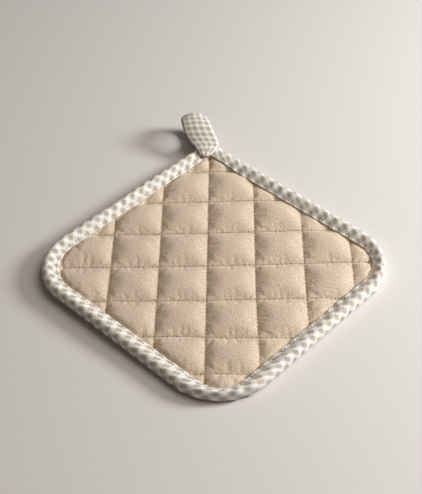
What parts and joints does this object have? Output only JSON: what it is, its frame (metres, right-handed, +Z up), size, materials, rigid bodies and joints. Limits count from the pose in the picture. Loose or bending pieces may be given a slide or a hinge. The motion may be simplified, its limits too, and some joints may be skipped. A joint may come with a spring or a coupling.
{
  "type": "pot holder",
  "caption": "Square quilted cotton pot holder with a gingham bias binding and a hanging loop of the same tape on one corner.",
  "frame": {"origin": "on the surface the pad lies on, under the middle of the whole footprint, loop included", "axes": "+Z up, away from the surface; +Y from the pad towards its loop corner; +X to the right seen from the front"},
  "size_m": [0.2474, 0.288, 0.0232],
  "materials": {
    "cover_cotton": "brushed twill, matt",
    "cotton_wadding": "lofty, matt",
    "barrier_felt": "needled felt with a silvery face",
    "gingham_tape": "plain weave with small white and beige checks, matt",
    "quilting_thread": "spun thread, matt",
    "binding_thread": "spun thread, matt"
  },
  "bodies": {
    "pad": {"front_cover": "cover_cotton", "back_cover": "cover_cotton", "front_wadding": "cotton_wadding", "back_wadding": "cotton_wadding", "heat_barrier": "barrier_felt", "edge_binding": "gingham_tape", "loop_sewn_end": "gingham_tape", "loop_bartack": "binding_thread", "binding_thread_front": "binding_thread", "binding_thread_back": "binding_thread", "quilting_thread_front_up_1": "quilting_thread", "quilting_thread_front_up_2": "quilting_thread", "quilting_thread_front_up_3": "quilting_thread", "quilting_thread_front_up_4": "quilting_thread", "quilting_thread_front_up_5": "quilting_thread", "quilting_thread_front_up_6": "quilting_thread", "quilting_thread_front_across_1": "quilting_thread", "quilting_thread_front_across_2": "quilting_thread", "quilting_thread_front_across_3": "quilting_thread", "quilting_thread_front_across_4": "quilting_thread", "quilting_thread_front_across_5": "quilting_thread", "quilting_thread_front_across_6": "quilting_thread", "quilting_thread_front_across_7": "quilting_thread", "quilting_thread_back_up_1": "quilting_thread", "quilting_thread_back_up_2": "quilting_thread", "quilting_thread_back_up_3": "quilting_thread", "quilting_thread_back_up_4": "quilting_thread", "quilting_thread_back_up_5": "quilting_thread", "quilting_thread_back_up_6": "quilting_thread", "quilting_thread_back_across_1": "quilting_thread", "quilting_thread_back_across_2": "quilting_thread", "quilting_thread_back_across_3": "quilting_thread", "quilting_thread_back_across_4": "quilting_thread", "quilting_thread_back_across_5": "quilting_thread", "quilting_thread_back_across_6": "quilting_thread", "quilting_thread_back_across_7": "quilting_thread"},
    "loop": {"hanging_loop": "gingham_tape", "loop_edge_thread": "binding_thread"}
  },
  "joints": [
    {"name": "loop_fold", "type": "hinge", "parent": "pad", "child": "loop", "pos_m": [-0.001, 0.10625, 0.0126], "axis": [1, 0, 0], "range_deg": [0, 120]}
  ]
}
